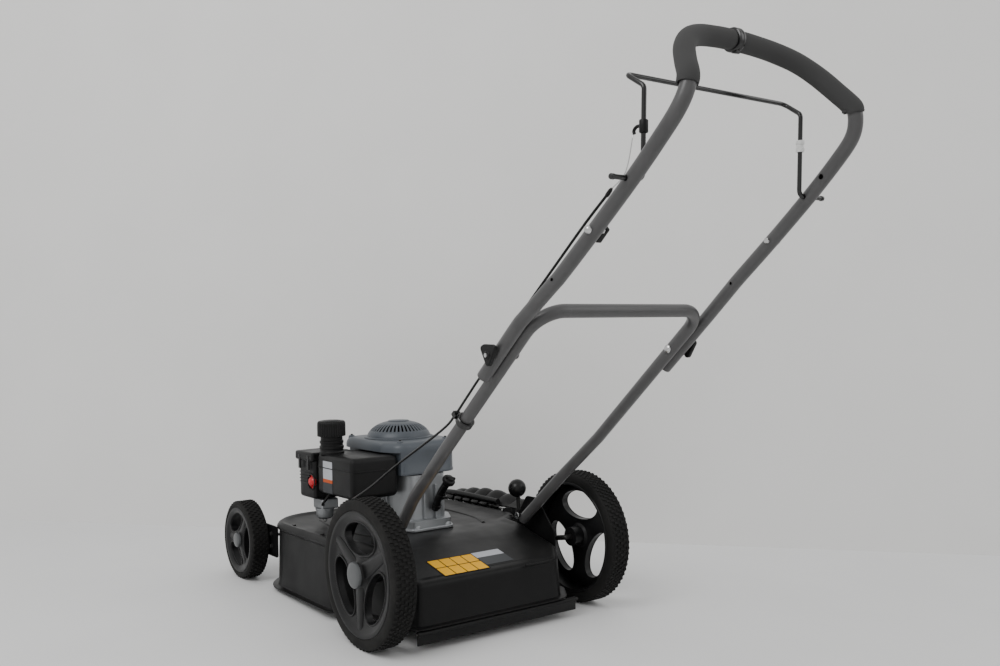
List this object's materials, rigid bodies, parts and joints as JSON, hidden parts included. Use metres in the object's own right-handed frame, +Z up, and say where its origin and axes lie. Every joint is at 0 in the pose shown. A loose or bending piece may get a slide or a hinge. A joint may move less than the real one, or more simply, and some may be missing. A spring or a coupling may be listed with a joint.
{
  "type": "rotary lawn mower",
  "caption": "Petrol walk-behind rotary mower: black steel deck, side discharge flap, high rear wheels, folding tube handle with foam grips and an engine brake bail.",
  "frame": {"origin": "on the ground in the centre plane of the wheels, half way between the grip's rearmost point and the front of the front wheels", "axes": "+X to the operator's right, +Y the way the mower travels, +Z up"},
  "size_m": [0.6965, 1.5605, 1.1418],
  "materials": {
    "black_plastic": "fine grained black plastic",
    "bright_steel": "zinc plated",
    "cast_aluminium": "as cast",
    "dark_steel": "blackened",
    "deck_paint": "satin black paint",
    "foam": "closed cell foam",
    "gloss_black": "gloss black coating",
    "red_rubber": "smooth",
    "shroud_paint": "satin blue grey",
    "tube_paint": "satin dark grey powder coat",
    "tyre": "matte rubber",
    "wheel_plastic": "moulded, matte",
    "white_plastic": "plain white"
  },
  "bodies": {
    "chassis": {"deck": "deck_paint", "front_bracket_left": "deck_paint", "front_bracket_right": "deck_paint", "front_axle": "bright_steel", "flap_rod": "dark_steel", "deflector_rod": "dark_steel", "deflector_spring": "bright_steel", "handle_bracket_left": "deck_paint", "handle_bracket_right": "deck_paint", "lower_handle": "tube_paint", "handle_bolt_left": "bright_steel", "handle_bolt_right": "bright_steel", "cable_clamp": "gloss_black", "brake_cable_lower": "black_plastic", "crankcase": "cast_aluminium", "cylinder": "cast_aluminium", "muffler": "dark_steel", "spark_plug_boot": "black_plastic", "blower_shroud": "shroud_paint", "recoil_cover": "shroud_paint", "fuel_tank": "black_plastic", "air_filter_box": "black_plastic", "carburettor": "cast_aluminium", "oil_filler_tube": "black_plastic"},
    "height_adjuster": {"rear_axle": "dark_steel", "height_lever": "dark_steel", "height_knob": "black_plastic"},
    "wheel_rear_left": {"tyre_rear_left": "tyre", "rim_rear_left": "wheel_plastic"},
    "wheel_rear_right": {"tyre_rear_right": "tyre", "rim_rear_right": "wheel_plastic"},
    "wheel_front_left": {"tyre_front_left": "tyre", "rim_front_left": "wheel_plastic"},
    "wheel_front_right": {"tyre_front_right": "tyre", "rim_front_right": "wheel_plastic"},
    "rear_flap": {"rear_flap": "black_plastic"},
    "deflector": {"discharge_deflector": "black_plastic"},
    "crank": {"crankshaft": "dark_steel", "flywheel": "cast_aluminium", "blade": "dark_steel", "blade_bolt": "bright_steel"},
    "upper_handle": {"upper_handle": "tube_paint", "grip_left": "foam", "grip_right": "foam", "grip_band": "gloss_black", "mid_bolt_left": "bright_steel", "mid_bolt_right": "bright_steel", "cable_stop": "black_plastic", "brake_wire": "dark_steel", "brake_cable_upper": "black_plastic"},
    "bail": {"bail": "gloss_black", "bail_sleeve": "white_plastic", "cable_hook": "black_plastic"},
    "knob_left": {"wing_knob_left": "black_plastic"},
    "knob_right": {"wing_knob_right": "black_plastic"},
    "fuel_cap": {"fuel_cap": "black_plastic"},
    "dipstick": {"dipstick": "black_plastic"},
    "primer": {"primer_bulb": "red_rubber"},
    "starter": {"starter_handle": "black_plastic"},
    "brake_lever": {"brake_lever": "bright_steel"}
  },
  "joints": [
    {"name": "height_adjust", "type": "hinge", "parent": "chassis", "child": "height_adjuster", "pos_m": [0, 0.09956, 0.13792], "axis": [1, 0, 0], "range_deg": [-10, 12]},
    {"name": "wheel_rear_left_spin", "type": "hinge", "parent": "height_adjuster", "child": "wheel_rear_left", "pos_m": [-0.281, 0.025, 0.1524], "axis": [1, 0, 0], "continuous": true},
    {"name": "wheel_rear_right_spin", "type": "hinge", "parent": "height_adjuster", "child": "wheel_rear_right", "pos_m": [0.281, 0.025, 0.1524], "axis": [1, 0, 0], "continuous": true},
    {"name": "wheel_front_left_spin", "type": "hinge", "parent": "chassis", "child": "wheel_front_left", "pos_m": [-0.273, 0.6825, 0.098], "axis": [1, 0, 0], "continuous": true},
    {"name": "wheel_front_right_spin", "type": "hinge", "parent": "chassis", "child": "wheel_front_right", "pos_m": [0.273, 0.6825, 0.098], "axis": [1, 0, 0], "continuous": true},
    {"name": "flap_swing", "type": "hinge", "parent": "chassis", "child": "rear_flap", "pos_m": [0, -0.07326, 0.0406], "axis": [1, 0, 0], "range_deg": [-65, 20]},
    {"name": "deflector_lift", "type": "hinge", "parent": "chassis", "child": "deflector", "pos_m": [0.2655, 0.37084, 0.17194], "axis": [0, -0.9995, 0.0332], "range_deg": [0, 75], "stiffness_Nm_per_rad": 0.5, "springref_deg": -57.3},
    {"name": "crank_spin", "type": "hinge", "parent": "chassis", "child": "crank", "pos_m": [0, 0.36981, 0.14096], "axis": [0, 0.0332, 0.9995], "continuous": true},
    {"name": "handle_fold", "type": "hinge", "parent": "chassis", "child": "upper_handle", "pos_m": [0, -0.35, 0.609], "axis": [1, 0, 0], "range_deg": [-135, 0]},
    {"name": "bail_squeeze", "type": "hinge", "parent": "upper_handle", "child": "bail", "pos_m": [0, -0.663, 0.885], "axis": [1, 0, 0], "range_deg": [0, 27], "stiffness_Nm_per_rad": 2, "springref_deg": -28.65},
    {"name": "knob_left_turn", "type": "hinge", "parent": "chassis", "child": "knob_left", "pos_m": [-0.2497, -0.35, 0.609], "axis": [1, 0, 0], "continuous": true},
    {"name": "knob_right_turn", "type": "hinge", "parent": "chassis", "child": "knob_right", "pos_m": [0.2497, -0.35, 0.609], "axis": [1, 0, 0], "continuous": true},
    {"name": "fuel_cap_turn", "type": "hinge", "parent": "chassis", "child": "fuel_cap", "pos_m": [-0.171, 0.40387, 0.38347], "axis": [0, 0.0332, 0.9995], "continuous": true},
    {"name": "dipstick_turn", "type": "hinge", "parent": "chassis", "child": "dipstick", "pos_m": [0.0206, 0.17944, 0.27165], "axis": [0.2112, -0.618, 0.7573], "continuous": true},
    {"name": "primer_press", "type": "slide", "parent": "chassis", "child": "primer", "axis": [1, 0, 0], "range_m": [0, 0.005], "stiffness_N_per_m": 300, "springref_m": -0.002},
    {"name": "starter_pull", "type": "slide", "parent": "chassis", "child": "starter", "axis": [1, 0, 0], "range_m": [0, 0.3], "stiffness_N_per_m": 15, "springref_m": -0.3},
    {"name": "brake_lever_turn", "type": "hinge", "parent": "chassis", "child": "brake_lever", "pos_m": [-0.0835, 0.32802, 0.2384], "axis": [0, 0.0332, 0.9995], "range_deg": [-1, 24]}
  ],
  "couplings": [
    {"joint": "brake_lever_turn", "follows": "bail_squeeze", "ratio": 0.8}
  ]
}
